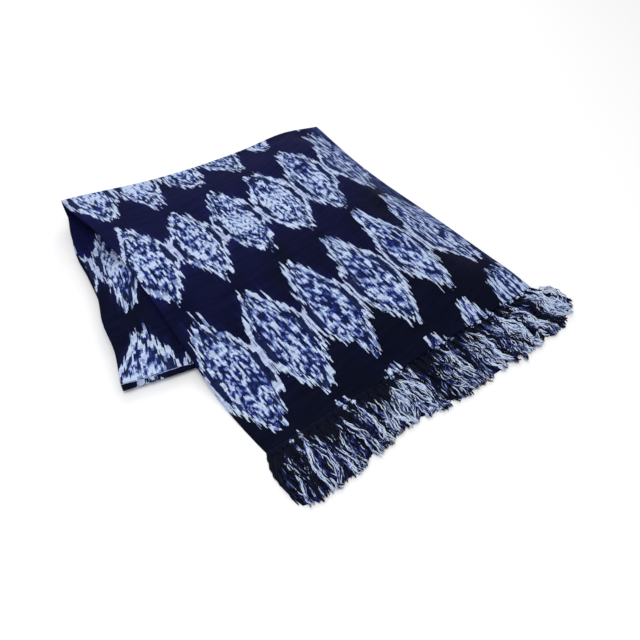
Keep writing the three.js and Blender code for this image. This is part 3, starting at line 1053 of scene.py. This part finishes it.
def tube_template():
    """A tube one unit long with rings between its closed ends."""
    tube = bmesh.new()
    bmesh.ops.create_cone(
        tube, cap_ends=True, segments=strand_sides, radius1=0.5, radius2=0.5, depth=1.0
    )
    long_edges = [edge for edge in tube.edges if abs(edge.verts[0].co.z - edge.verts[1].co.z) > 0.5]
    bmesh.ops.subdivide_edges(tube, edges=long_edges, cuts=strand_steps - 1)
    return tube


# %% Lay the tubes along the paths
def strands_object(name, paths, pattern, material):
    template = tube_template()
    local = np.array([vertex.co for vertex in template.verts])
    ring = np.rint((local[:, 2] + 0.5) * strand_steps).astype(int)
    angle = np.arctan2(local[:, 1], local[:, 0])
    mesh = repeated(name, template, len(paths))
    tangent = np.gradient(paths, axis=1)
    tangent /= np.linalg.norm(tangent, axis=2, keepdims=True)
    side = np.cross(tangent, [0, 0, 1])
    side /= np.linalg.norm(side, axis=2, keepdims=True)
    up = np.cross(side, tangent)
    thin = np.ones(strand_steps + 1)
    thin[-1] = 0.55
    radius = (strand_radius * thin[ring])[None, :, None]
    around = np.cos(angle)[None, :, None] * side[:, ring] + np.sin(angle)[None, :, None] * up[:, ring]
    points = paths[:, ring] + radius * around + shift
    mesh.vertices.foreach_set("co", points.ravel())
    lay_pattern(mesh, "pattern", pattern[:, ring].reshape(-1, 2))
    number = np.repeat(np.arange(len(paths)), len(local))
    round_tube = number + 0.5 + np.tile(angle / (2 * math.pi), len(paths))
    lay_pattern(mesh, "ply", np.stack([round_tube, np.tile(ring / strand_steps, len(paths))], 1))
    mesh.shade_smooth()
    mesh.materials.append(material)
    print(name, "has", len(mesh.polygons), "faces")
    return linked(name, mesh)


# %% Strand materials
def inside_motif(shade, u, v):
    """How far inside its motif a piece of yarn was dyed, without the ragged edge that the cloth has."""
    aside = shade.maths("ABSOLUTE", shade.scaled(shade.maths("FRACT", u), 1.0, -0.5))
    from_middle = shade.maths("ABSOLUTE", shade.minus(v, shade.maths("ROUND", v)))
    return shade.minus(motif_half_width(shade, from_middle, 0.08), aside)


def make_strand_material(name, painted_shade):
    """Yarn that is white, pale, blue or dark by lock and by strand, and near-black outside the motifs."""
    shade = Shade(name)
    u, v = shade.uv("pattern")
    round_tube, outward = shade.uv("ply")
    strand = shade.maths("FLOOR", round_tube)
    lock = shade.maths("FLOOR", shade.times(strand, 1 / strands_per_lock))
    strand_luck = shade.random(strand, 1.0)
    lock_luck = shade.random(lock, 2.0)
    patches = shade.grain(strand, 3.7, outward, 3.2)
    # The bed yarn's extra darkness is painted shade, the shade under the heaped locks.
    white = shade.plus(
        shade.times(strand_luck, 0.35), shade.scaled(lock_luck, 0.45, 0.04 - painted_shade),
        # Darker near the knot: painted shade under the hem.
        shade.scaled(patches, 1.0, -0.5), shade.scaled(shade.step(outward, 0.02, 0.25), 0.16, -0.16),
    )
    dyed = shade.ramp(white, [(0.35, near_black), (0.43, royal_blue), (0.49, pale_blue), (0.56, yarn_white)])
    inside = shade.plus(inside_motif(shade, u, v), shade.scaled(strand_luck, 0.16, -0.08))
    colour = shade.blend_colour(shade.step(inside, -0.03, 0.03), near_black, dyed)
    # The plies' turns darken the colour a little in the grooves between them: painted shade.
    turn = shade.plus(shade.times(round_tube, 4 * math.pi), shade.times(outward, 24 * 2 * math.pi))
    twist = shade.scaled(shade.maths("SINE", turn), 0.5, 0.5)
    colour = shade.blend_colour(shade.times(twist, 0.18), colour, (0.35, 0.38, 0.5, 1.0), "MULTIPLY")
    return shade.finish(
        twist, 0.0005, 0.7, Base_Color=colour, Roughness=0.7, Specular_IOR_Level=0.08,
        Sheen_Weight=0.03, Sheen_Roughness=0.5, Sheen_Tint=(0.5, 0.6, 1.0, 1.0),
    )


fringe = strands_object("fringe", paths, path_pattern, make_strand_material("plied fringe yarn", 0.0))
bed_material = make_strand_material("dark and shaded fringe yarn", 0.30)
fringe_bed = strands_object("fringe_bed", bed_paths, bed_pattern, bed_material)

# %% [markdown]
# Below the bed the strands are matted too closely to tell apart, so one thin dark body stands for them. It is
# also painted shadow: it darkens the gaps between the clumps and reaches out under the strands' tips as a
# dark rim.


# %% The matted strands and their painted shadow
mat_shares = share_grid(120, 12)
mat_ripple = 0.0030


def shadow_mat_points():
    s, on = mat_shares
    s = 1 - s
    x, y = hem_point(s)
    at_left_end = 1 - smooth(0, 0.10, s)
    lean = np.radians(fringe_value(2, s) + left_end_lean * at_left_end)
    shorter = 1 - right_end_shorter * smooth(0.90, 0.99, s)
    out = mix(-0.004, fringe_value(1, s) * 0.97 * shorter + mat_ripple * np.sin(50 * s), on)
    rounded = 0.012 * at_left_end * np.sin(np.pi * on)
    z = 0.0008 + 0.0016 * np.sin(np.pi * on) + 0 * x
    return np.stack([x + out * np.sin(lean) - rounded, y - out * np.cos(lean), z], axis=2)


def make_mat_shadow_material():
    shade = Shade("matted yarn and painted shadow")
    u, v = shade.uv("pattern")
    streaks = shade.grain(u, 300.0, v, 5.0, 2.0)
    colour = shade.ramp(streaks, [(0.45, near_black), (0.75, dark_blue)])
    return shade.finish(streaks, 0.001, Base_Color=colour, Roughness=0.9, Specular_IOR_Level=0.05)


mat_uv = np.stack(mat_shares, axis=2)
fringe_shadow_mat = cloth_sheet("fringe_shadow_mat", shadow_mat_points(), mat_uv, thin_cloth, make_mat_shadow_material())

# %% [markdown]
# Each knot is an overhand knot pulled tight: a rounded lump with its turns of thread wound round it. A sphere
# with slanting grooves gives that at this size.


# %% The knots
knot_half_sizes = (0.0044, 0.0050, 0.0034)


def face_order(face):
    """One number for each face, made from its corners' numbers."""
    number = 0
    for index in sorted(vertex.index for vertex in face.verts):
        number = number * 1000 + index
    return number


def knot_template():
    lump = bmesh.new()
    bmesh.ops.create_uvsphere(lump, u_segments=16, v_segments=10, radius=1.0)
    # The sphere's faces come in another order each time, so they are put in one order.
    lump.verts.index_update()
    lump.faces.sort(key=face_order)
    for vertex in lump.verts:
        turn = math.atan2(vertex.co.z, vertex.co.x)
        groove = 1 + 0.13 * math.cos(2 * turn + 5.5 * vertex.co.y)
        vertex.co *= groove
    bmesh.ops.scale(lump, vec=knot_half_sizes, verts=lump.verts)
    return lump


def make_knots():
    template = knot_template()
    local = np.array([vertex.co for vertex in template.verts])
    mesh = repeated("knots", template, knot_count)
    turn = luck.uniform(-0.5, 0.5, knot_count)
    size = luck.uniform(0.85, 1.15, knot_count)
    cosine = np.cos(turn)[:, None]
    sine = np.sin(turn)[:, None]
    x = (local[:, 0] * cosine - local[:, 1] * sine) * size[:, None]
    y = (local[:, 0] * sine + local[:, 1] * cosine) * size[:, None]
    z = local[:, 2] * size[:, None]
    middle = np.stack([knot_x, knot_y - 0.0045, np.maximum(knot_z, 0.0046)], axis=1)
    points = np.stack([x, y, z], axis=2) + middle[:, None, :] + shift
    mesh.vertices.foreach_set("co", points.ravel())
    pattern = np.stack([hem_column(knot_share), hem_row(knot_share) - 0.02], axis=1)
    lay_pattern(mesh, "pattern", np.repeat(pattern, len(local), axis=0))
    mesh.shade_smooth()
    return mesh


def make_knot_material():
    shade = Shade("knotted yarn")
    coordinates = shade.node("ShaderNodeTexCoord")
    patches = shade.noise(coordinates.outputs["Object"], 220.0, 2.0)
    dark = shade.ramp(patches, [(0.45, near_black), (0.75, deep_indigo)])
    pale = shade.ramp(patches, [(0.42, dark_blue), (0.50, pale_blue), (0.58, near_white)])
    u, v = shade.uv("pattern")
    share = shade.step(inside_motif(shade, u, v), -0.02, 0.05)
    colour = shade.blend_colour(share, dark, pale)
    fibres = shade.noise(coordinates.outputs["Object"], 900.0, 2.0)
    return shade.finish(fibres, 0.0006, Base_Color=colour, Roughness=0.85, Specular_IOR_Level=0.04)


knots_mesh = make_knots()
knots_mesh.materials.append(make_knot_material())
knots = linked("knots", knots_mesh)
print("knots have", len(knots_mesh.polygons), "faces")

# %% [markdown]
# ## What each piece stands for
#
# Every piece rides on the one body and takes the place of its CAD node. The lengths of the second and third
# sheets are worked out as well.

# %% Ride and replace
replaced = {
    top_cloth: "top_stretch",
    second_cloth: "second_stretch",
    third_cloth: "hidden_layers",
    inner_layers: "hidden_layers",
    knots: "fringe_knots",
    fringe: "front_fringe",
    fringe_bed: "front_fringe",
    fringe_shadow_mat: "front_fringe",
}
for piece, node in replaced.items():
    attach(piece, "root")
    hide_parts(node)

second_length = float(lengths_along(second, axis=0)[-1].mean())
third_length = float(lengths_along(third, axis=0)[-1].mean())

# %% [markdown]
# ## Floor, light and camera
#
# A plain pale floor, a bright even surround and two large soft lamps: one overhead, and one behind the scarf,
# which gives the dark cloth a faint sheen at the back; the ground's stronger bluish sheen there is painted
# into the cloth's colour. The camera stands at the left front corner and looks down at a little over half a
# right angle.

# %% Floor
floor_mesh = bpy.data.meshes.new("floor")
floor_grid = bmesh.new()
bmesh.ops.create_grid(floor_grid, x_segments=1, y_segments=1, size=6.0)
floor_grid.to_mesh(floor_mesh)
floor_grid.free()
floor_shade = Shade("pale floor")
floor_shade.surface.inputs["Base Color"].default_value = (0.86, 0.86, 0.87, 1.0)
floor_shade.surface.inputs["Roughness"].default_value = 0.9
floor_mesh.materials.append(floor_shade.material)
floor = linked("floor", floor_mesh)


# %% Light
def soft_lamp(name, place, aim, size, power):
    data = bpy.data.lights.new(name, "AREA")
    data.shape = "DISK"
    data.size = size
    data.energy = power
    lamp = linked(name, data)
    lamp.location = place
    lamp.rotation_euler = (Vector(aim) - Vector(place)).to_track_quat("-Z", "Y").to_euler()


soft_lamp("back window", (1.2, 1.9, 1.7), (0.0, 0.0, 0.05), 1.6, 20)
soft_lamp("overhead", (-0.5, -0.2, 2.2), (0.0, 0.0, 0.0), 1.4, 22)
world = bpy.data.worlds.new("studio")
world.use_nodes = True
world.node_tree.nodes["Background"].inputs["Color"].default_value = (1.0, 1.0, 1.0, 1.0)
world.node_tree.nodes["Background"].inputs["Strength"].default_value = 0.75
bpy.context.scene.world = world
bpy.context.scene.view_settings.view_transform = "Standard"

# %% Camera
camera_place = Vector((-0.5746, -0.7451, 0.9363)) + Vector(shift)
camera_azimuth = math.radians(42)
camera_down = math.radians(50.99)
camera_roll = math.radians(1.98)
sensor_width = 36.0
focal_share = 620 / 640

ahead = Vector(
    (
        math.sin(camera_azimuth) * math.cos(camera_down),
        math.cos(camera_azimuth) * math.cos(camera_down),
        -math.sin(camera_down),
    )
)
level_right = Vector((math.cos(camera_azimuth), -math.sin(camera_azimuth), 0.0))
level_up = level_right.cross(ahead)
right = level_right * math.cos(camera_roll) + level_up * math.sin(camera_roll)
up = right.cross(ahead)
camera_data = bpy.data.cameras.new("camera")
camera_data.sensor_width = sensor_width
camera_data.lens = focal_share * sensor_width
camera = linked("camera", camera_data)
camera.matrix_world = Matrix.Translation(camera_place) @ Matrix((right, up, -ahead)).transposed().to_4x4()
bpy.context.scene.camera = camera
